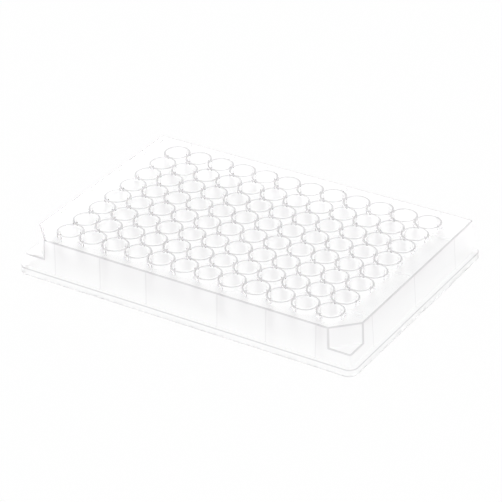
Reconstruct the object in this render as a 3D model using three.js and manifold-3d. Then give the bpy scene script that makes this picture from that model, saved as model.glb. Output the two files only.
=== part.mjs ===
// 96-well plate: one clear moulding. Millimetres, +Z up, origin at the centre of the foot.
import * as THREE from 'three';
import { mergeVertices } from 'three/addons/utils/BufferGeometryUtils.js';
import Module from 'manifold-3d';

// --- Driving dimensions -------------------------------------------------------------------
// Well array, and the margins from its outermost well centres to the edges of the foot.
const COLUMNS = 12;
const ROWS = 8;
const WELL_PITCH = 9;
const END_MARGIN = 14.38;
const SIDE_MARGIN = 11.24;

// Wells: blind and tapered, each in a tube that reaches a little past the middle of the pitch,
// so that it is fused to its neighbours.
const PLATE_HEIGHT = 14.35;
const RIM_HEIGHT = 0.3;
const DECK_THICKNESS = 1.3;
const TUBE_OVERLAP = 0.13;
const TUBE_WALL = 1.2;
const TUBE_FOOT_HEIGHT = 2.25;
const WELL_FLOOR_THICKNESS = 1.2;
const WELL_TAPER = 0.23;

// Skirt, with its walls leaning inwards, and the hollow flange it stands on.
const WALL = 1.2;
const SKIRT_DRAFT_DEGREES = 3.3;
const SKIRT_CORNER_RADIUS = 0.8;
const SKIRT_INNER_CORNER_RADIUS = 0.3;
const FLANGE_WIDTH = 1.7;
const FLANGE_HEIGHT = 2.5;
const FLANGE_CORNER_RADIUS = 3.2;

// Notches in the two front corners: 45 degree cuts that stop at a ledge.
const NOTCH_LEG = 7.85;
const NOTCH_LEDGE_HEIGHT = 6.95;

// Ribs under the deck, from the skirt to the tubes. Columns count inwards from each end, and
// steps are pitches from the middle of the plate.
const RIB_THICKNESS = 0.9;
const RIB_FOOT = 0.4;
const LONG_RIB_COLUMNS = [0, 2];
const SHORT_RIB_COLUMNS = [4];
const END_RIB_STEPS = [-3, 0, 3];

// Facets of the round shapes.
const WELL_SIDES = 12;
const CORNER_STEPS = 4;

// --- Sizes that follow --------------------------------------------------------------------
const ARRAY_HALF_LENGTH = ((COLUMNS - 1) * WELL_PITCH) / 2;
const ARRAY_HALF_WIDTH = ((ROWS - 1) * WELL_PITCH) / 2;
const FOOT_HALF_LENGTH = ARRAY_HALF_LENGTH + END_MARGIN;
const FOOT_HALF_WIDTH = ARRAY_HALF_WIDTH + SIDE_MARGIN;
const SKIRT_HALF_LENGTH = FOOT_HALF_LENGTH - FLANGE_WIDTH;
const SKIRT_HALF_WIDTH = FOOT_HALF_WIDTH - FLANGE_WIDTH;
const DECK_TOP = PLATE_HEIGHT - RIM_HEIGHT;
const DECK_UNDERSIDE = DECK_TOP - DECK_THICKNESS;
const TUBE_RADIUS = WELL_PITCH / 2 + TUBE_OVERLAP;
const WELL_TOP_RADIUS = TUBE_RADIUS - TUBE_WALL;
const WELL_FLOOR_RADIUS = WELL_TOP_RADIUS - WELL_TAPER;
const WELL_FLOOR = TUBE_FOOT_HEIGHT + WELL_FLOOR_THICKNESS;
const WELL_DEPTH = PLATE_HEIGHT - WELL_FLOOR;
const NOTCH_INNER_LEG = NOTCH_LEG - (2 - Math.SQRT2) * WALL;
const CUTTER_OVERRUN = 1;

const wasm = await Module();
wasm.setup();

// --- Solids -------------------------------------------------------------------------------
function toSolid(geometry) {
  geometry.deleteAttribute('normal');
  geometry.deleteAttribute('uv');
  const merged = mergeVertices(geometry, 1e-4);
  const mesh = new wasm.Mesh({
    numProp: 3,
    vertProperties: new Float32Array(merged.attributes.position.array),
    triVerts: new Uint32Array(merged.index.array),
  });
  return new wasm.Manifold(mesh);
}

function toGeometry(solid) {
  const { vertProperties, triVerts } = solid.getMesh();
  const indexed = new THREE.BufferGeometry();
  indexed.setAttribute('position', new THREE.BufferAttribute(vertProperties, 3));
  indexed.setIndex(new THREE.BufferAttribute(triVerts, 1));
  const geometry = indexed.toNonIndexed();
  geometry.computeVertexNormals();
  return geometry;
}

function union(geometries) {
  return geometries.map(toSolid).reduce((whole, solid) => whole.add(solid));
}

// --- Skirt, flange and deck ---------------------------------------------------------------
// The back half of an outline: its two rounded corners, from right to left.
function roundBackCorners(outline, halfLength, halfWidth, radius) {
  outline.absarc(halfLength - radius, halfWidth - radius, radius, 0, Math.PI / 2);
  outline.absarc(radius - halfLength, halfWidth - radius, radius, Math.PI / 2, Math.PI);
}

function roundedOutline(halfLength, halfWidth, radius) {
  const outline = new THREE.Shape();
  roundBackCorners(outline, halfLength, halfWidth, radius);
  outline.absarc(radius - halfLength, radius - halfWidth, radius, Math.PI, 1.5 * Math.PI);
  outline.absarc(halfLength - radius, radius - halfWidth, radius, 1.5 * Math.PI, 2 * Math.PI);
  return outline;
}

function notchedOutline(halfLength, halfWidth, radius, leg) {
  const outline = new THREE.Shape();
  roundBackCorners(outline, halfLength, halfWidth, radius);
  outline.lineTo(-halfLength, leg - halfWidth);
  outline.lineTo(leg - halfLength, -halfWidth);
  outline.lineTo(halfLength - leg, -halfWidth);
  outline.lineTo(halfLength, leg - halfWidth);
  return outline;
}

function prism(outline, bottom, top) {
  const geometry = new THREE.ExtrudeGeometry(outline, {
    depth: top - bottom,
    bevelEnabled: false,
    curveSegments: CORNER_STEPS,
  });
  return geometry.translate(0, 0, bottom);
}

// Leans the walls of a prism inwards with height. They keep their size at the flange's top.
function lean(geometry) {
  const slope = Math.tan(THREE.MathUtils.degToRad(SKIRT_DRAFT_DEGREES));
  const position = geometry.attributes.position;
  for (let i = 0; i < position.count; i += 1) {
    const shift = (position.getZ(i) - FLANGE_HEIGHT) * slope;
    const x = position.getX(i);
    const y = position.getY(i);
    position.setXY(i, x - Math.sign(x) * shift, y - Math.sign(y) * shift);
  }
  return geometry;
}

function body() {
  const flange = prism(
    roundedOutline(FOOT_HALF_LENGTH, FOOT_HALF_WIDTH, FLANGE_CORNER_RADIUS),
    0,
    FLANGE_HEIGHT,
  );
  const lower = prism(
    roundedOutline(SKIRT_HALF_LENGTH, SKIRT_HALF_WIDTH, SKIRT_CORNER_RADIUS),
    0,
    NOTCH_LEDGE_HEIGHT,
  );
  const upper = prism(
    notchedOutline(SKIRT_HALF_LENGTH, SKIRT_HALF_WIDTH, SKIRT_CORNER_RADIUS, NOTCH_LEG),
    0,
    DECK_TOP,
  );
  return union([flange, lean(lower), lean(upper)]);
}

// The space under the deck, one wall inside the body, before tubes and ribs stand in it.
function hollow() {
  const halfLength = SKIRT_HALF_LENGTH - WALL;
  const halfWidth = SKIRT_HALF_WIDTH - WALL;
  const radius = SKIRT_INNER_CORNER_RADIUS;
  const flange = prism(
    roundedOutline(
      FOOT_HALF_LENGTH - WALL,
      FOOT_HALF_WIDTH - WALL,
      FLANGE_CORNER_RADIUS - WALL,
    ),
    -CUTTER_OVERRUN,
    FLANGE_HEIGHT - WALL,
  );
  const lower = prism(
    roundedOutline(halfLength, halfWidth, radius),
    0,
    NOTCH_LEDGE_HEIGHT - WALL,
  );
  const upper = prism(
    notchedOutline(halfLength, halfWidth, radius, NOTCH_INNER_LEG),
    0,
    DECK_UNDERSIDE,
  );
  return union([flange, lean(lower), lean(upper)]);
}

// --- Tubes, wells and ribs ----------------------------------------------------------------
function wellCentres() {
  const centres = [];
  for (let column = 0; column < COLUMNS; column += 1) {
    for (let row = 0; row < ROWS; row += 1) {
      const x = column * WELL_PITCH - ARRAY_HALF_LENGTH;
      const y = row * WELL_PITCH - ARRAY_HALF_WIDTH;
      centres.push([x, y]);
    }
  }
  return centres;
}

// A round tube, cut flat where it meets its four neighbours.
function tubeOutline() {
  const meetingAngle = Math.acos(WELL_PITCH / 2 / TUBE_RADIUS);
  const corners = [];
  for (let quarter = 0; quarter < 4; quarter += 1) {
    for (const turn of [-meetingAngle, meetingAngle, Math.PI / 4]) {
      const angle = (quarter * Math.PI) / 2 + turn;
      corners.push(new THREE.Vector2(Math.cos(angle), Math.sin(angle)).multiplyScalar(TUBE_RADIUS));
    }
  }
  return new THREE.Shape(corners);
}

function atEachWell(geometry) {
  return union(wellCentres().map(([x, y]) => geometry.clone().translate(x, y, 0)));
}

function tubes() {
  return atEachWell(prism(tubeOutline(), TUBE_FOOT_HEIGHT, PLATE_HEIGHT));
}

function wells() {
  const depth = WELL_DEPTH + CUTTER_OVERRUN;
  const widening = WELL_TAPER / WELL_DEPTH;
  const topRadius = WELL_FLOOR_RADIUS + widening * depth;
  const well = new THREE.CylinderGeometry(topRadius, WELL_FLOOR_RADIUS, depth, WELL_SIDES);
  return atEachWell(well.rotateX(Math.PI / 2).translate(0, 0, WELL_FLOOR + depth / 2));
}

function box(x0, x1, y0, y1, z0, z1) {
  const geometry = new THREE.BoxGeometry(Math.abs(x1 - x0), Math.abs(y1 - y0), z1 - z0);
  return geometry.translate((x0 + x1) / 2, (y0 + y1) / 2, (z0 + z1) / 2);
}

function ribs() {
  const half = RIB_THICKNESS / 2;
  const made = [];
  const addSideRibs = (column, foot) => {
    const x = ARRAY_HALF_LENGTH - column * WELL_PITCH;
    for (const centre of [-x, x]) {
      for (const side of [-1, 1]) {
        const inner = side * (ARRAY_HALF_WIDTH + WELL_TOP_RADIUS);
        const outer = side * FOOT_HALF_WIDTH;
        made.push(box(centre - half, centre + half, inner, outer, foot, DECK_TOP));
      }
    }
  };
  LONG_RIB_COLUMNS.forEach((column) => addSideRibs(column, RIB_FOOT));
  SHORT_RIB_COLUMNS.forEach((column) => addSideRibs(column, FLANGE_HEIGHT));
  for (const step of END_RIB_STEPS) {
    const y = step * WELL_PITCH;
    for (const end of [-1, 1]) {
      const inner = end * ARRAY_HALF_LENGTH;
      const outer = end * FOOT_HALF_LENGTH;
      made.push(box(inner, outer, y - half, y + half, FLANGE_HEIGHT, DECK_TOP));
    }
  }
  return union(made);
}

// --- Plate --------------------------------------------------------------------------------
const standing = tubes();
const core = hollow().subtract(standing).subtract(ribs());
const plate = body().add(standing).subtract(core).subtract(wells());

const clearPlastic = new THREE.MeshStandardMaterial({
  color: 0xeef3f4,
  roughness: 0.15,
  metalness: 0,
});
const plateMesh = new THREE.Mesh(toGeometry(plate), clearPlastic);
plateMesh.name = 'plate';

const wellPlate = new THREE.Group();
wellPlate.name = 'well_plate';
wellPlate.add(plateMesh);

export default wellPlate;
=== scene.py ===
"""96-well plate: one clear moulding on a white studio floor."""
import math

import bmesh
import bpy
from bpy.props import FloatProperty, FloatVectorProperty, IntProperty, PointerProperty
from mathutils import Matrix, Vector


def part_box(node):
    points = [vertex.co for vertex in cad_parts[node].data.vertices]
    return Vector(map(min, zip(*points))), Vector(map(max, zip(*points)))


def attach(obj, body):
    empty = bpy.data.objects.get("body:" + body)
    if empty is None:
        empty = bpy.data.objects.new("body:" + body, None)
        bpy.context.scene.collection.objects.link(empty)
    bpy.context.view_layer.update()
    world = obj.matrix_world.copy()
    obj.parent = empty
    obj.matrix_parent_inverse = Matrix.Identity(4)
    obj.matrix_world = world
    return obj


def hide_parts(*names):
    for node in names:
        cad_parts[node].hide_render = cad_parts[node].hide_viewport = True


bl_info = {
    "name": "Well Plate",
    "version": (1, 0, 0),
    "blender": (4, 5, 0),
    "location": "View3D > Sidebar > Well Plate",
    "description": "Models a clear 96-well plate and the white stage it stands on",
    "category": "Add Mesh",
}

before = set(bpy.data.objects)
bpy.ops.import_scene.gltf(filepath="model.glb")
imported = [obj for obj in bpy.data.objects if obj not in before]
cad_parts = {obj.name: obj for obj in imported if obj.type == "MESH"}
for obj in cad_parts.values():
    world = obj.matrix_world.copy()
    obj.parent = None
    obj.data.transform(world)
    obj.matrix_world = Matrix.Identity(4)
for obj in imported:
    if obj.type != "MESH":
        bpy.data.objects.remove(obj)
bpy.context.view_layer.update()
FOOT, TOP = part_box("plate")

MM = 0.001
OVERRUN = 1 * MM  # how far a cutter reaches past what it cuts
WELD = 1e-6  # points closer than this are one point
TUBE_WELD = 2 * WELD  # the same, where tubes meet
TUBE_CUT_SLACK = WELD / 10  # points closer than this to a tube's cut lie on it
SHARP_CORNER = math.radians(30)
FLOOR_GAP = 0.02 * MM  # keeps the floor off the foot's lower edge

# Steps in the rounded shapes.
TUBE_SIDES = 48
DECK_HOLE_SIDES = 24
FLANGE_CORNER_STEPS = 10
POCKET_CORNER_STEPS = 8
SKIRT_CORNER_STEPS = 6
FILLET_STEPS = 4
EDGE_STEPS = 3

RIB_COLUMN_STEP = 2  # a long side has a rib at every second column from each end
RIM_TOP_SHARE = 0.6  # share of a rim's rounding that counts as its top

# Numbers of the finishes, in the order of make_finishes.
WELL_FINISH = 0
SKIN_FINISH = 1
EDGE_SHADE_FINISH = 2
RIM_SHADE_FINISH = 3
INSIDE_FINISH = 4

# Fine detail of the plastic and of the floor's paper.
FLOW_SIZE = 6 * MM
CLOUD_SIZE = 9 * MM
CLOUD_DETAIL = 3
SATIN_GRAIN_SIZE = 0.5 * MM
SKIN_GRAIN_SIZE = 0.25 * MM
PAPER_GRAIN_SIZE = 2 * MM
SATIN_RELIEF = 0.02 * MM
SKIN_RELIEF = 0.002 * MM
GRAIN_ON_FLOW = 0.1  # height of the satin grain, as a share of the flow waves
CLOUD_ON_GRAIN = 0.5  # height of the skin's clouds, as a share of its grain
CLOUD_TONE = 0.996  # colour of the darker clouds, as a share of the lighter ones

# Shares from one end of a change to the other.
SATIN_UNEVENNESS = (0.9, 1)
HAZE_UNEVENNESS = (0.7, 1.3)
HAZE_PATCHES = (0.9, 1.1)
PAPER_ROUGHNESS = (0.9, 1)
RIB_SHADE_STRENGTH = (0.4, 1)  # painted rib shade at the foot, and at the rims
SLANT_RANGE = (0.3, 0.9)  # turn away from square at which the painted slant shade starts to show, and is full
SHADE_RANGE = (0.3, 0.95)  # share of the deck's height where the painted shade starts, and is full
SHADE_END = 0.1 * MM  # depth under the deck's top where the painted shade ends
DECK_EDGE = 0.5 * MM  # depth over which the deck's haze gives way to the skirt's etching

WHITE = (1, 1, 1, 1)

# The camera's sensor in millimetres, and the nearest and farthest things it shows.
SENSOR_WIDTH = 36
NEAREST = 10 * MM
FARTHEST = 10

# Sockets that share a name with others of their node, by their number.
MIX_LOW = 6
MIX_HIGH = 7
MIX_RESULT = 2
FIRST_SHADER = 1
SECOND_SHADER = 2


# --- Sizes and finishes -----------------------------------------------------------------------


def length(name, description, default):
    """A length property, in metres, given here in millimetres."""
    return FloatProperty(
        name=name, description=description, default=default * MM, min=0, unit="LENGTH", precision=5
    )


def angle(name, description, default):
    """An angle property, in radians, given here in degrees."""
    return FloatProperty(
        name=name, description=description, default=math.radians(default), subtype="ANGLE"
    )


def share(name, description, default):
    """A property from 0 to 1."""
    return FloatProperty(
        name=name, description=description, default=default, min=0, max=1, subtype="FACTOR"
    )


def tint(name, description, default):
    """A colour property."""
    return FloatVectorProperty(
        name=name, description=description, default=default, min=0, max=1, subtype="COLOR"
    )


class PlateSizes(bpy.types.PropertyGroup):
    """Sizes of the moulding."""

    columns: IntProperty(name="Columns", description="Wells along the plate", default=12, min=2)
    rows: IntProperty(name="Rows", description="Wells across the plate", default=8, min=2)
    pitch: length("Pitch", "Distance between neighbouring wells", 9)
    foot_length: length("Foot length", "Outside length of the foot", (TOP[0] - FOOT[0]) / MM)
    foot_width: length("Foot width", "Outside width of the foot", (TOP[1] - FOOT[1]) / MM)
    height: length("Height", "Height of the rims above the foot", (TOP[2] - FOOT[2]) / MM)
    rim_height: length("Rim height", "How far the rims stand above the deck", 0.3)
    deck_thickness: length("Deck thickness", "Thickness of the deck", 1.3)
    well_top: length("Well radius at the rim", "Inside radius of a well at its rim", 3.43)
    well_floor: length("Well radius at the floor", "Inside radius of a well at its floor", 3.2)
    well_depth: length("Well depth", "From the rim down to the well's floor", 10.9)
    floor_thickness: length("Floor thickness", "Thickness of a well's floor", 1.2)
    tube_wall: length("Tube wall", "Wall of the tube round a well, at its rim", 1.2)
    wall: length("Wall", "Wall of the skirt and of the flange", 1.2)
    draft: angle("Draft", "Lean of the skirt's walls", 3.3)
    skirt_corner: length("Skirt corner", "Radius of the skirt's upright corners", 0.8)
    flange_width: length("Flange width", "Ledge between the skirt and the flange's edge", 1.7)
    flange_height: length("Flange height", "Height of the flange", 2.5)
    flange_corner: length("Flange corner", "Radius of the flange's corners", 3.2)
    notch_leg: length("Notch leg", "How far a notch cuts into each side of its corner", 7.85)
    notch_ledge: length("Notch ledge", "Height of the ledge below a notch", 6.95)
    hollow_corner: length("Hollow corner", "Radius of the upright corners under the deck", 0.3)
    rib_columns: IntProperty(
        name="Ribs", description="Ribs from each end of a long side", default=3, min=1
    )
    end_rib_spacing: length("End rib spacing", "Distance between the ribs of a short side", 27)
    rib_thickness: length("Rib thickness", "Thickness of the ribs under the deck", 0.9)
    rib_foot: length("Rib foot", "Gap under the long ribs", 0.4)
    edge_round: length("Edge rounding", "Radius of the deck's and the notches' outer edges", 0.4)
    flange_round: length("Flange rounding", "Radius of the flange's edges", 0.25)
    rim_round: length("Rim rounding", "Radius of the rims' edges", 0.2)
    floor_fillet: length("Floor fillet", "Radius where a well's wall meets its floor", 0.35)
    rim_band: length("Rim band", "How far down from its top a rim is finished apart", 0.5)
    # The rim's outer line carries painted shade.
    rim_line: length("Rim line", "Width of the darker outer edge on a rim's top", 0.6)


class PlateFinish(bpy.types.PropertyGroup):
    """Finishes of the plastic."""

    colour: tint("Skin", "Colour of the outer skin", (0.97, 0.97, 0.97))
    well_colour: tint("Wells", "Colour of wells and underside", (1, 1, 1))
    # Painted shade: the wells are coloured darker where they are seen at a slant, which gives them
    # the shading of a cylinder.
    well_slant_shade: tint(
        "Slanted wells",
        "Colour of the wells where light crosses them at a slant",
        (0.88, 0.875, 0.88),
    )
    # Painted shade under the deck, where it is seen at a slant.
    inside_slant_shade: tint(
        "Slanted underside",
        "Colour under the deck where light crosses it at a slant",
        (0.92, 0.915, 0.92),
    )
    # Painted shade: the rounded edges are coloured dark, as they lead light away to darker
    # surroundings.
    edge_shade_colour: tint(
        "Edges", "Colour of the rounded edges, which lead light away", (0.6, 0.59, 0.6)
    )
    # Painted shade: a dark line on the outer edge of each rim's top, where light is led away.
    rim_shade_colour: tint("Rims", "Colour of the outer edge on the rims' tops", (0.55, 0.54, 0.55))
    # Painted shade: darker lines on the skin over the ribs behind it, where the ribs lead light
    # away.
    rib_shade_colour: tint(
        "Rib shade lines", "Colour of the skin where a rib meets it from behind", (0.72, 0.71, 0.72)
    )
    # Painted shade: the skirt is coloured darker right under the deck, where the deck leads light
    # away.
    painted_shade_colour: tint("Shade", "Colour of the skirt right under the deck", (0.95, 0.945, 0.95))
    etched_refraction: FloatProperty(
        name="Etched refraction",
        description="Index of refraction of the etched skin",
        default=1.2,
        min=1,
    )
    clear_refraction: FloatProperty(
        name="Clear refraction",
        description="Index of refraction of the hazy skin, the wells and the underside",
        default=1.06,
        min=1,
    )
    deck_haze: share("Haze of the deck", "Share of the deck that is hazy, not etched", 0.95)
    skirt_haze: share("Haze of the skirt", "Share of the skirt that is hazy, not etched", 0.05)
    satin_roughness: share("Satin roughness", "Roughness of the etched and satin surfaces", 1)
    haze_roughness: share("Haze roughness", "Roughness of the hazy skin", 0.2)
    rib_shade_width: length("Sink mark width", "Half the width of a painted shade line over a rib", 0.35)


class StageSetup(bpy.types.PropertyGroup):
    """The floor, the surrounding light and the camera."""

    floor_size: length("Floor size", "Side of the floor", 4000)
    floor_colour: tint("Floor colour", "Colour of the floor", (0.98, 0.98, 0.98))
    backdrop_share: share(
        "Backdrop share", "How much of the floor shows as plain white backdrop", 0.97
    )
    seen_through_share: share(
        "Seen-through share",
        "How much of the floor shows as plain white behind clear plastic",
        1,
    )
    light: FloatProperty(
        name="Light", description="Light from above and from the left", default=1, min=0
    )
    side_light: share(
        "Side light", "Light from the right, as a share of that from the left", 0.5
    )
    bounces: IntProperty(name="Bounces", description="Surfaces a ray may cross", default=48, min=1)
    azimuth: angle("Azimuth", "Camera's turn round the plate", 33.011)
    elevation: angle("Elevation", "Camera's height angle", 30.319)
    roll: angle("Roll", "Camera's roll", -1.652)
    distance: length("Distance", "From the camera to the point it looks at", 739.271)
    aim: FloatVectorProperty(
        name="Aim",
        description="Point that the camera looks at",
        default=(2.588 * MM, -3.315 * MM, 7.38 * MM),
        subtype="TRANSLATION",
        unit="LENGTH",
        precision=5,
    )
    lens: FloatProperty(
        name="Lens",
        description="Focal length in millimetres",
        default=161.68,
        min=1,
        unit="CAMERA",
    )


# --- Mesh helpers -----------------------------------------------------------------------------


def bevel(bm, edges, radius, segments, finish=None):
    """Rounds the given edges, and gives the rounds a finish of their own where one is named."""
    made = bmesh.ops.bevel(
        bm,
        geom=edges,
        offset=radius,
        offset_type="OFFSET",
        affect="EDGES",
        segments=segments,
        profile=0.5,
        material=-1,
        clamp_overlap=True,
    )
    if finish is not None:
        paint(made["faces"], finish)


def paint(faces, finish):
    """Gives faces a finish by its number."""
    for face in faces:
        face.material_index = finish


def level_edges(bm, z):
    """The edges that lie flat at a height."""
    return [edge for edge in bm.edges if all(abs(vert.co.z - z) < WELD for vert in edge.verts)]


def upright_edges(bm, least_rise=0.8):
    """The edges that rise by more than a share of their length."""
    chosen = []
    for edge in bm.edges:
        along = (edge.verts[0].co - edge.verts[1].co).normalized()
        if abs(along.z) > least_rise:
            chosen.append(edge)
    return chosen


def block(low, high):
    """A box between two corners."""
    bm = bmesh.new()
    size = Vector(high) - Vector(low)
    middle = (Vector(high) + Vector(low)) / 2
    matrix = Matrix.Translation(middle) @ Matrix.Diagonal(size.to_4d())
    bmesh.ops.create_cube(bm, size=1, matrix=matrix)
    return bm


def centred_block(half_length, half_width, bottom, top):
    """A box round the plate's middle."""
    return block((-half_length, -half_width, bottom), (half_length, half_width, top))


def lean(bm, slope, level):
    """Moves walls inwards with height; they keep their size at the given level."""
    for vert in bm.verts:
        shift = (vert.co.z - level) * slope
        vert.co.x -= shift * math.copysign(1, vert.co.x)
        vert.co.y -= shift * math.copysign(1, vert.co.y)


def cut_off(bm, on_cut, outwards, slack=0):
    """Cuts a mesh at a plane, drops what lies outside, and gives back the cut's outline."""
    cut = bmesh.ops.bisect_plane(
        bm,
        geom=bm.verts[:] + bm.edges[:] + bm.faces[:],
        dist=slack,
        plane_co=on_cut,
        plane_no=outwards,
        clear_outer=True,
    )
    return [item for item in cut["geom_cut"] if isinstance(item, bmesh.types.BMEdge)]


def append(bm, piece):
    """Adds one bmesh to another, and frees it."""
    mesh = bpy.data.meshes.new("piece")
    piece.to_mesh(mesh)
    piece.free()
    bm.from_mesh(mesh)
    bpy.data.meshes.remove(mesh)


def to_object(bm, name, finishes):
    """Turns a bmesh into an object that carries all the finishes."""
    bmesh.ops.recalc_face_normals(bm, faces=bm.faces)
    mesh = bpy.data.meshes.new(name)
    bm.to_mesh(mesh)
    bm.free()
    for finish in finishes:
        mesh.materials.append(finish)
    made = bpy.data.objects.new(name, mesh)
    bpy.context.collection.objects.link(made)
    return made


def join(whole, tool, operation):
    """Joins or cuts one solid with another, which it uses up."""
    modifier = whole.modifiers.new(operation, "BOOLEAN")
    modifier.operation = operation
    modifier.solver = "MANIFOLD"
    modifier.object = tool
    with bpy.context.temp_override(object=whole, active_object=whole):
        bpy.ops.object.modifier_apply(modifier=modifier.name)
    bpy.data.meshes.remove(tool.data)
    return whole


# --- Skirt, flange and deck -------------------------------------------------------------------


def deck_top(sizes):
    return sizes.height - sizes.rim_height


def array_half_length(sizes):
    return (sizes.columns - 1) * sizes.pitch / 2


def array_half_width(sizes):
    return (sizes.rows - 1) * sizes.pitch / 2


def tube_radius(sizes):
    return sizes.well_top + sizes.tube_wall


def tube_middle(sizes):
    """Radius of the middle of a tube's wall."""
    return sizes.well_top + sizes.tube_wall / 2


def skirt_halves(sizes, inset=0):
    """Half the length and half the width of the skirt, at the top of the flange."""
    half_length = sizes.foot_length / 2 - sizes.flange_width - inset
    half_width = sizes.foot_width / 2 - sizes.flange_width - inset
    return half_length, half_width


def rib_column_places(sizes):
    """Where the ribs of a long side stand, from the end wells inwards."""
    for rib in range(sizes.rib_columns):
        yield rib, array_half_length(sizes) - rib * RIB_COLUMN_STEP * sizes.pitch


def flange_block(sizes):
    """The flange as a solid block, with rounded corners and edges."""
    bm = centred_block(sizes.foot_length / 2, sizes.foot_width / 2, 0, sizes.flange_height)
    bevel(bm, upright_edges(bm), sizes.flange_corner, FLANGE_CORNER_STEPS)
    paint(bm.faces, SKIN_FINISH)
    for z in (0, sizes.flange_height):
        bevel(bm, level_edges(bm, z), sizes.flange_round, EDGE_STEPS, EDGE_SHADE_FINISH)
    return bm


def skirt_block(sizes, inset, top, corner):
    """A block with leaning walls and rounded upright corners."""
    bm = centred_block(*skirt_halves(sizes, inset), 0, top)
    lean(bm, math.tan(sizes.draft), sizes.flange_height)
    bevel(bm, upright_edges(bm), corner, SKIRT_CORNER_STEPS)
    return bm


def cut_notches(bm, sizes, inset, leg):
    """Cuts both front corners of a leaning block off at 45 degrees."""
    slope = math.tan(sizes.draft)
    half_length, half_width = skirt_halves(sizes, inset)
    for side in (-1, 1):
        on_cut = Vector((side * half_length, leg - half_width, sizes.flange_height))
        outwards = Vector((side, -1, 2 * slope))
        outline = cut_off(bm, on_cut, outwards)
        bmesh.ops.edgeloop_fill(bm, edges=outline)


def make_body(sizes, finishes):
    """The outside of the skirt, its flange and the deck, without its hollow."""
    whole = to_object(flange_block(sizes), "flange", finishes)

    lower = skirt_block(sizes, 0, sizes.notch_ledge, sizes.skirt_corner)
    paint(lower.faces, SKIN_FINISH)
    ledge_edges = level_edges(lower, sizes.notch_ledge)
    bevel(lower, ledge_edges, sizes.edge_round, EDGE_STEPS, EDGE_SHADE_FINISH)
    join(whole, to_object(lower, "lower", finishes), "UNION")

    upper = skirt_block(sizes, 0, deck_top(sizes), sizes.skirt_corner)
    cut_notches(upper, sizes, 0, sizes.notch_leg)
    paint(upper.faces, SKIN_FINISH)
    upright = upright_edges(upper)
    notch_corners = [edge for edge in upright if edge.calc_face_angle(0) > SHARP_CORNER]
    bevel(upper, notch_corners, sizes.edge_round, EDGE_STEPS, EDGE_SHADE_FINISH)
    deck_edges = level_edges(upper, deck_top(sizes))
    bevel(upper, deck_edges, sizes.edge_round, EDGE_STEPS, EDGE_SHADE_FINISH)
    join(whole, to_object(upper, "upper", finishes), "UNION")
    return whole


def make_hollow(sizes, finishes):
    """The space under the deck, one wall inside the body."""
    wall = sizes.wall
    corner = sizes.hollow_corner
    half_length = sizes.foot_length / 2 - wall
    half_width = sizes.foot_width / 2 - wall
    pocket = centred_block(half_length, half_width, -OVERRUN, sizes.flange_height - wall)
    bevel(pocket, upright_edges(pocket), sizes.flange_corner - wall, POCKET_CORNER_STEPS)
    lower = skirt_block(sizes, wall, sizes.notch_ledge - wall, corner)
    upper = skirt_block(sizes, wall, deck_top(sizes) - sizes.deck_thickness, corner)
    inner_leg = sizes.notch_leg - (2 - math.sqrt(2)) * wall  # leaves one wall behind the notch
    cut_notches(upper, sizes, wall, inner_leg)
    for bm in (pocket, lower, upper):
        paint(bm.faces, INSIDE_FINISH)
    whole = to_object(pocket, "pocket", finishes)
    join(whole, to_object(lower, "lower", finishes), "UNION")
    return join(whole, to_object(upper, "upper", finishes), "UNION")


def make_ribs(sizes, finishes):
    """The ribs from the outer tubes to the skirt."""
    ribs = bmesh.new()
    half = sizes.rib_thickness / 2
    for rib, place in rib_column_places(sizes):
        foot = sizes.rib_foot if rib < sizes.rib_columns - 1 else sizes.flange_height
        for end in (-1, 1):
            x = end * place
            for side in (-1, 1):
                inner = side * (array_half_width(sizes) + tube_middle(sizes))
                outer = side * sizes.foot_width / 2
                low = (x - half, min(inner, outer), foot)
                high = (x + half, max(inner, outer), deck_top(sizes))
                append(ribs, block(low, high))
    for step in (-1, 0, 1):
        y = step * sizes.end_rib_spacing
        for end in (-1, 1):
            inner = end * (array_half_length(sizes) + half)
            outer = end * sizes.foot_length / 2
            low = (min(inner, outer), y - half, sizes.flange_height)
            high = (max(inner, outer), y + half, deck_top(sizes))
            append(ribs, block(low, high))
    paint(ribs.faces, INSIDE_FINISH)
    return to_object(ribs, "ribs", finishes)


# --- Wells ------------------------------------------------------------------------------------


def well_centres(sizes):
    """Column, row and centre of each well."""
    for column in range(sizes.columns):
        for row in range(sizes.rows):
            x = column * sizes.pitch - array_half_length(sizes)
            y = row * sizes.pitch - array_half_width(sizes)
            yield column, row, Vector((x, y, 0))


def make_deck_holes(sizes, finishes):
    """One cutter for each tube, down the middle of its wall."""
    holes = bmesh.new()
    radius = tube_middle(sizes)
    for _, _, centre in well_centres(sizes):
        bmesh.ops.create_cone(
            holes,
            cap_ends=True,
            segments=DECK_HOLE_SIDES,
            radius1=radius,
            radius2=radius,
            depth=sizes.height,
            matrix=Matrix.Translation(centre + Vector((0, 0, sizes.height))),
        )
    return to_object(holes, "holes", finishes)


def arc(centre, radius, start, end, steps):
    """Points of an arc in the profile plane, with angles in degrees."""
    points = []
    for step in range(steps + 1):
        turn = math.radians(start + (end - start) * step / steps)
        points.append((centre[0] + radius * math.cos(turn), centre[1] + radius * math.sin(turn)))
    return points


def tube_profile(sizes):
    """Half the section of one tube, from the well's floor over the rim to the tube's foot."""
    floor = sizes.height - sizes.well_depth
    foot = floor - sizes.floor_thickness
    band_foot = sizes.height - sizes.rim_band
    inner, outer = sizes.well_top, tube_radius(sizes)
    fillet = sizes.floor_fillet
    rim_round = sizes.rim_round
    round_height = sizes.height - rim_round
    profile = [(0, floor)]
    profile += arc((sizes.well_floor - fillet, floor + fillet), fillet, -90, 0, FILLET_STEPS)
    profile += [(inner, band_foot)]
    profile += arc((inner + rim_round, round_height), rim_round, 180, 90, EDGE_STEPS)
    profile += [(outer - sizes.rim_line, sizes.height)]
    profile += arc((outer - rim_round, round_height), rim_round, 90, 0, EDGE_STEPS)
    profile += [(outer, band_foot), (outer, foot), (0, foot)]
    return profile


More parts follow.
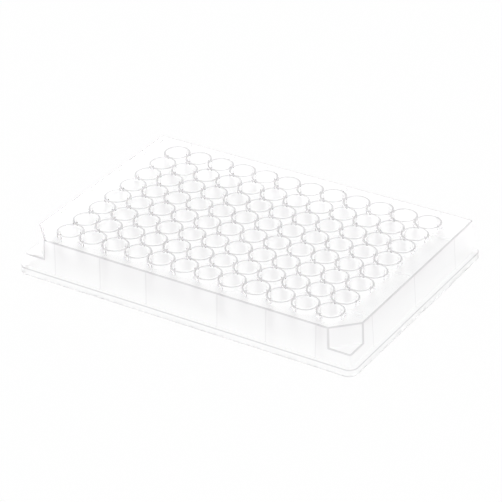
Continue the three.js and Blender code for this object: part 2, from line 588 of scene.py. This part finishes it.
def paint_tube(bm, sizes):
    """Finishes the well, the rim with its outer line of painted shade, and the outside of a tube
    apart.
    """
    paint(bm.faces, WELL_FINISH)
    band_foot = sizes.height - sizes.rim_band
    top_foot = sizes.height - sizes.rim_round * RIM_TOP_SHARE
    for face in bm.faces:
        middle = face.calc_center_median()
        away = math.hypot(middle.x, middle.y)
        if middle.z > top_foot and away > tube_radius(sizes) - sizes.rim_line:
            face.material_index = RIM_SHADE_FINISH
        elif middle.z > band_foot and away > sizes.well_top + sizes.rim_round:
            face.material_index = SKIN_FINISH
        elif middle.z <= band_foot and away > tube_middle(sizes):
            face.material_index = INSIDE_FINISH


def make_tube(sizes):
    """One tube with its well, as a full turn of its profile."""
    bm = bmesh.new()
    verts = [bm.verts.new((radius, 0, z)) for radius, z in tube_profile(sizes)]
    edges = [bm.edges.new(pair) for pair in zip(verts, verts[1:])]
    bmesh.ops.spin(
        bm,
        geom=verts + edges,
        cent=(0, 0, 0),
        axis=(0, 0, 1),
        angle=2 * math.pi,
        steps=TUBE_SIDES,
        use_merge=True,
    )
    bmesh.ops.remove_doubles(bm, verts=bm.verts, dist=WELD)
    paint_tube(bm, sizes)
    return bm


def make_tubes(sizes, finishes):
    """All tubes, each cut where it meets a neighbour and merged with it."""
    lattice = bmesh.new()
    single = bpy.data.meshes.new("tube")
    pattern = make_tube(sizes)
    pattern.to_mesh(single)
    pattern.free()
    for column, row, centre in well_centres(sizes):
        bm = bmesh.new()
        bm.from_mesh(single)
        meets = (
            (Vector((-1, 0, 0)), column > 0),
            (Vector((1, 0, 0)), column < sizes.columns - 1),
            (Vector((0, -1, 0)), row > 0),
            (Vector((0, 1, 0)), row < sizes.rows - 1),
        )
        for outwards, has_neighbour in meets:
            if has_neighbour:
                cut_off(bm, outwards * sizes.pitch / 2, outwards, TUBE_CUT_SLACK)
        bmesh.ops.translate(bm, vec=centre, verts=bm.verts)
        append(lattice, bm)
    bpy.data.meshes.remove(single)
    bmesh.ops.remove_doubles(lattice, verts=lattice.verts, dist=TUBE_WELD)
    return to_object(lattice, "tubes", finishes)


def make_plate(sizes, finishes):
    """The whole moulding, as one closed solid."""
    core = join(make_hollow(sizes, finishes), make_ribs(sizes, finishes), "DIFFERENCE")
    plate = join(make_body(sizes, finishes), core, "DIFFERENCE")
    join(plate, make_deck_holes(sizes, finishes), "DIFFERENCE")
    join(plate, make_tubes(sizes, finishes), "UNION")
    plate.name = "well_plate"
    plate.data.name = "well_plate"
    plate.data.polygons.foreach_set("use_smooth", [True] * len(plate.data.polygons))
    plate.data.set_sharp_from_angle(angle=SHARP_CORNER)
    return plate


# --- Finishes ---------------------------------------------------------------------------------


class Value:
    """A number that varies over a surface; its arithmetic adds Math nodes."""

    def __init__(self, nodes, socket):
        self.nodes = nodes
        self.socket = socket

    def maths(self, operation, *numbers):
        sockets = dict(enumerate(numbers))
        return self.nodes.add("ShaderNodeMath", {"operation": operation}, sockets)

    def __add__(self, other):
        return self.maths("ADD", self, other)

    __radd__ = __add__

    def __sub__(self, other):
        return self.maths("SUBTRACT", self, other)

    def __rsub__(self, other):
        return self.maths("SUBTRACT", other, self)

    def __mul__(self, other):
        return self.maths("MULTIPLY", self, other)

    __rmul__ = __mul__

    def __abs__(self):
        return self.maths("ABSOLUTE", self)

    def highest(self, other):
        return self.maths("MAXIMUM", self, other)


class Nodes:
    """The node tree of one material or world."""

    def __init__(self, owner):
        owner.use_nodes = True
        self.tree = owner.node_tree
        self.tree.nodes.clear()

    def add(self, kind, settings=None, sockets=None, output=0):
        """Adds a node with its settings, then the values or links of its sockets."""
        node = self.tree.nodes.new(kind)
        for name, value in (settings or {}).items():
            setattr(node, name, value)
        for name, value in (sockets or {}).items():
            if isinstance(value, Value):
                self.tree.links.new(value.socket, node.inputs[name])
            else:
                node.inputs[name].default_value = value
        return Value(self, node.outputs[output]) if node.outputs else node

    def place(self):
        """A point on the piece, in metres."""
        return self.add("ShaderNodeTexCoord", output="Object")

    def parts(self, vector):
        """The three numbers of a vector."""
        first = self.add("ShaderNodeSeparateXYZ", {}, {"Vector": vector})
        return [Value(self, socket) for socket in first.socket.node.outputs]

    def change(self, value, span, result):
        """Goes smoothly from one result to another while a value crosses a span."""
        sockets = {
            "Value": value,
            "From Min": span[0],
            "From Max": span[1],
            "To Min": result[0],
            "To Max": result[1],
        }
        return self.add("ShaderNodeMapRange", {"interpolation_type": "SMOOTHSTEP"}, sockets)

    def rise(self, value, low, high):
        """0 up to a low value, 1 from a high value on, and smooth between them."""
        return self.change(value, (low, high), (0, 1))

    def noise(self, size, detail=2):
        """Soft noise with lumps of a given size, from 0 to 1."""
        sockets = {"Vector": self.place(), "Scale": 1 / size, "Detail": detail}
        return self.add("ShaderNodeTexNoise", {"noise_dimensions": "3D"}, sockets)

    def band(self, distance, half_width):
        """1 where a distance is 0, falling off to 0 at half the band's width."""
        return self.change(abs(distance), (0, half_width), (1, 0))

    def painted_slant_shade(self):
        """Where painted shade shows: 0 where a ray crosses the surface nearly square, 1 where it
        grazes it.
        """
        facing = self.add("ShaderNodeLayerWeight", {}, {"Blend": 0.5}, "Facing")
        return self.rise(facing, *SLANT_RANGE)

    def bump(self, height, depth):
        """A normal for relief of a given depth."""
        sockets = {"Height": height, "Distance": depth, "Strength": 1}
        return self.add("ShaderNodeBump", {}, sockets, "Normal")

    def blend_colours(self, factor, low, high):
        """One colour where a factor is 0, another where it is 1."""
        sockets = {"Factor": factor, MIX_LOW: low, MIX_HIGH: high}
        return self.add("ShaderNodeMix", {"data_type": "RGBA"}, sockets, MIX_RESULT)

    def blend_surfaces(self, factor, first, second):
        """One surface where a factor is 0, another where it is 1."""
        sockets = {"Fac": factor, FIRST_SHADER: first, SECOND_SHADER: second}
        return self.add("ShaderNodeMixShader", {}, sockets)

    def clouded(self, colour, cloud):
        """A colour with slightly darker clouds."""
        darker = [CLOUD_TONE * part for part in colour]
        return self.blend_colours(cloud, opaque(darker), opaque(colour))

    def clear(self, colour, roughness, normal, refraction):
        """Clear plastic with one surface."""
        sockets = {
            "Base Color": colour,
            "Roughness": roughness,
            "IOR": refraction,
            "Transmission Weight": 1,
            "Normal": normal,
        }
        return self.add("ShaderNodeBsdfPrincipled", {}, sockets)

    def finish_surface(self, surface):
        self.add("ShaderNodeOutputMaterial", {}, {"Surface": surface})


def opaque(colour):
    """A colour with the fourth number that a colour socket has."""
    return (*colour, 1)


def between(factor, ends):
    """The first end where a factor is 0, the second where it is 1."""
    return ends[0] + (ends[1] - ends[0]) * factor


def satin_finish(name, finish, colour, painted_slant_shade=None):
    """Satin plastic with faint flow waves; where a ray crosses it at a slant it may be darker, as
    painted shade that gives the walls the shading of a cylinder.
    """
    material = bpy.data.materials.new(name)
    nodes = Nodes(material)
    flow = nodes.noise(FLOW_SIZE)
    grain = nodes.noise(SATIN_GRAIN_SIZE)
    gloss = finish.satin_roughness * between(flow, SATIN_UNEVENNESS)
    relief = nodes.bump(flow + GRAIN_ON_FLOW * grain, SATIN_RELIEF)
    surface = nodes.clear(nodes.clouded(colour, flow), gloss, relief, finish.clear_refraction)
    # Painted shade: a darker copy of the plastic, mixed in where the surface is seen at a slant.
    if painted_slant_shade is not None:
        slant_shaded = nodes.clear(opaque(painted_slant_shade), gloss, relief, finish.clear_refraction)
        surface = nodes.blend_surfaces(nodes.painted_slant_shade(), surface, slant_shaded)
    nodes.finish_surface(surface)
    return material


def marks_at(nodes, distance, places, half_width):
    """1 where a distance is one of some places, falling off to 0 beside them."""
    marks = nodes.band(distance - places[0], half_width)
    for place in places[1:]:
        marks = marks.highest(nodes.band(distance - place, half_width))
    return marks


def rib_shade_lines(nodes, sizes, finish):
    """Painted shade where the ribs meet the skin from behind, from 0 to 1."""
    x, y, z = nodes.parts(nodes.place())
    along, across = abs(x), abs(y)
    half_length, half_width = skirt_halves(sizes)
    reach = 2 * sizes.height * math.tan(sizes.draft)
    on_long_side = nodes.band(half_width - across, reach)
    on_short_side = nodes.band(half_length - along, reach)
    long_places = [place for _, place in rib_column_places(sizes)]
    short_places = [0, sizes.end_rib_spacing]
    long_ribs = marks_at(nodes, along, long_places, finish.rib_shade_width)
    short_ribs = marks_at(nodes, across, short_places, finish.rib_shade_width)
    strength = between(nodes.rise(z, 0, sizes.height), RIB_SHADE_STRENGTH)
    return strength * (long_ribs * on_long_side).highest(short_ribs * on_short_side)


def painted_deck_shade(nodes, sizes):
    """Painted shade: 1 on the skirt right under the deck's edge, falling off to 0 further down."""
    height = nodes.parts(nodes.place())[2]
    top = deck_top(sizes)
    start, full = SHADE_RANGE
    shade = nodes.rise(height, start * top, full * top)
    return shade * (1 - nodes.rise(height, top - SHADE_END, top))


def skin_finish(sizes, finish):
    """The outer skin: mostly hazy on the deck, and mostly etched on the skirt."""
    material = bpy.data.materials.new("etched_skin")
    nodes = Nodes(material)
    cloud = nodes.noise(CLOUD_SIZE, CLOUD_DETAIL)
    grain = nodes.noise(SKIN_GRAIN_SIZE)
    marks = rib_shade_lines(nodes, sizes, finish)
    colour = nodes.clouded(finish.colour, cloud)
    # Painted shade on the skirt under the deck.
    colour = nodes.blend_colours(painted_deck_shade(nodes, sizes), colour, opaque(finish.painted_shade_colour))
    # Painted shade over the ribs.
    colour = nodes.blend_colours(marks, colour, opaque(finish.rib_shade_colour))
    relief = nodes.bump(grain + CLOUD_ON_GRAIN * cloud, SKIN_RELIEF)
    etched_gloss = finish.satin_roughness * between(grain, SATIN_UNEVENNESS)
    etched = nodes.clear(colour, etched_gloss, relief, finish.etched_refraction)
    hazy_gloss = finish.haze_roughness * between(cloud, HAZE_UNEVENNESS)
    hazy = nodes.clear(colour, hazy_gloss, relief, finish.clear_refraction)
    height = nodes.parts(nodes.place())[2]
    on_deck = nodes.rise(height, deck_top(sizes) - DECK_EDGE, deck_top(sizes))
    haze = between(on_deck, (finish.skirt_haze, finish.deck_haze))
    haze = haze * between(cloud, HAZE_PATCHES)
    nodes.finish_surface(nodes.blend_surfaces(haze, etched, hazy))
    return material


def make_finishes(sizes, finish):
    """All finishes of the plastic, in the order of their numbers."""
    return (
        satin_finish("satin_wells", finish, finish.well_colour, finish.well_slant_shade),
        skin_finish(sizes, finish),
        # The rounded edges carry painted shade.
        satin_finish("rounded_edges_painted_shade", finish, finish.edge_shade_colour),
        satin_finish("well_rims_painted_shade", finish, finish.rim_shade_colour),
        satin_finish("satin_underside", finish, finish.well_colour, finish.inside_slant_shade),
    )


# --- Stage ------------------------------------------------------------------------------------


def white_rays(nodes, stage):
    """How much of a ray meets plain white: from the camera, or past the plastic."""
    from_camera = nodes.add("ShaderNodeLightPath", output="Is Camera Ray")
    outputs = from_camera.socket.node.outputs
    through = Value(nodes, outputs["Is Transmission Ray"])
    mirrored = Value(nodes, outputs["Is Glossy Ray"])
    past_plastic = through.highest(mirrored)
    return (stage.backdrop_share * from_camera).highest(stage.seen_through_share * past_plastic)


def make_floor(stage):
    """A white paper floor right under the plate's foot."""
    bm = bmesh.new()
    bmesh.ops.create_grid(bm, x_segments=1, y_segments=1, size=stage.floor_size / 2)
    bmesh.ops.translate(bm, vec=(0, 0, FOOT[2] - FLOOR_GAP), verts=bm.verts)
    material = bpy.data.materials.new("white_floor")
    nodes = Nodes(material)
    paper = nodes.noise(PAPER_GRAIN_SIZE)
    sockets = {
        "Base Color": opaque(stage.floor_colour),
        "Roughness": between(paper, PAPER_ROUGHNESS),
        "Specular IOR Level": 0,
    }
    plain = nodes.add("ShaderNodeBsdfPrincipled", {}, sockets)
    white = nodes.add("ShaderNodeEmission", {}, {"Color": WHITE, "Strength": 1})
    nodes.finish_surface(nodes.blend_surfaces(white_rays(nodes, stage), plain, white))
    material.cycles.emission_sampling = "NONE"
    floor = to_object(bm, "floor", [material])


def make_surround(stage):
    """Soft light from all round, weaker from the right, in front of a plain white backdrop."""
    world = bpy.data.worlds.new("surround")
    bpy.context.scene.world = world
    nodes = Nodes(world)
    direction = nodes.add("ShaderNodeTexCoord", output="Generated")
    rightwards = nodes.rise(nodes.parts(direction)[0], 0, 1)
    light = stage.light * (1 - (1 - stage.side_light) * rightwards)
    from_camera = nodes.add("ShaderNodeLightPath", output="Is Camera Ray")
    strength = light + from_camera * (1 - light)
    background = nodes.add("ShaderNodeBackground", {}, {"Color": WHITE, "Strength": strength})
    nodes.add("ShaderNodeOutputWorld", {}, {"Surface": background})


def make_camera(stage):
    """A camera on a line from the point it looks at, turned by three angles."""
    data = bpy.data.cameras.new("camera")
    data.sensor_width = SENSOR_WIDTH
    data.lens = stage.lens
    data.clip_start = NEAREST
    data.clip_end = FARTHEST
    camera = bpy.data.objects.new("camera", data)
    tilt = math.pi / 2 - stage.elevation
    turn = Matrix.Rotation(stage.azimuth, 4, "Z") @ Matrix.Rotation(tilt, 4, "X")
    turn @= Matrix.Rotation(stage.roll, 4, "Z")
    back = turn @ Vector((0, 0, stage.distance))
    camera.matrix_world = Matrix.Translation(Vector(stage.aim) + back) @ turn
    bpy.context.collection.objects.link(camera)
    bpy.context.scene.camera = camera


# --- Operators and panel ----------------------------------------------------------------------


class WELLPLATE_OT_plate(bpy.types.Operator):
    """Model the well plate with its finishes"""

    bl_idname = "wellplate.plate"
    bl_label = "Make Well Plate"

    def execute(self, context):
        sizes = context.scene.well_plate_sizes
        finish = context.scene.well_plate_finish
        if tube_radius(sizes) < sizes.pitch / 2:
            raise ValueError("the tubes have to meet: widen a well or its wall, or lower the pitch")
        plate = make_plate(sizes, make_finishes(sizes, finish))
        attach(plate, "root")
        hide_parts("plate")
        return {"FINISHED"}


class WELLPLATE_OT_stage(bpy.types.Operator):
    """Set up the floor, the surrounding light and the camera"""

    bl_idname = "wellplate.stage"
    bl_label = "Make Stage"

    def execute(self, context):
        stage = context.scene.well_plate_stage
        make_floor(stage)
        make_surround(stage)
        make_camera(stage)
        scene = context.scene
        scene.view_settings.view_transform = "Standard"
        scene.cycles.max_bounces = stage.bounces
        scene.cycles.transmission_bounces = stage.bounces
        scene.cycles.glossy_bounces = stage.bounces
        return {"FINISHED"}


class WELLPLATE_PT_panel(bpy.types.Panel):
    """Lists the sizes, the finishes and the operators"""

    bl_label = "Well Plate"
    bl_idname = "WELLPLATE_PT_panel"
    bl_space_type = "VIEW_3D"
    bl_region_type = "UI"
    bl_category = "Well Plate"

    def draw(self, context):
        scene = context.scene
        for settings in (scene.well_plate_sizes, scene.well_plate_finish, scene.well_plate_stage):
            box = self.layout.box()
            for name in settings.__annotations__:
                box.prop(settings, name)
        for operator in (WELLPLATE_OT_plate, WELLPLATE_OT_stage):
            self.layout.operator(operator.bl_idname)


CLASSES = (
    PlateSizes,
    PlateFinish,
    StageSetup,
    WELLPLATE_OT_plate,
    WELLPLATE_OT_stage,
    WELLPLATE_PT_panel,
)


def register():
    for made in CLASSES:
        bpy.utils.register_class(made)
    bpy.types.Scene.well_plate_sizes = PointerProperty(type=PlateSizes)
    bpy.types.Scene.well_plate_finish = PointerProperty(type=PlateFinish)
    bpy.types.Scene.well_plate_stage = PointerProperty(type=StageSetup)


def unregister():
    del bpy.types.Scene.well_plate_stage
    del bpy.types.Scene.well_plate_finish
    del bpy.types.Scene.well_plate_sizes
    for made in reversed(CLASSES):
        bpy.utils.unregister_class(made)


def main():
    """Makes the stage and the plate."""
    register()
    bpy.ops.wellplate.stage()
    bpy.ops.wellplate.plate()


if __name__ == "__main__":
    main()
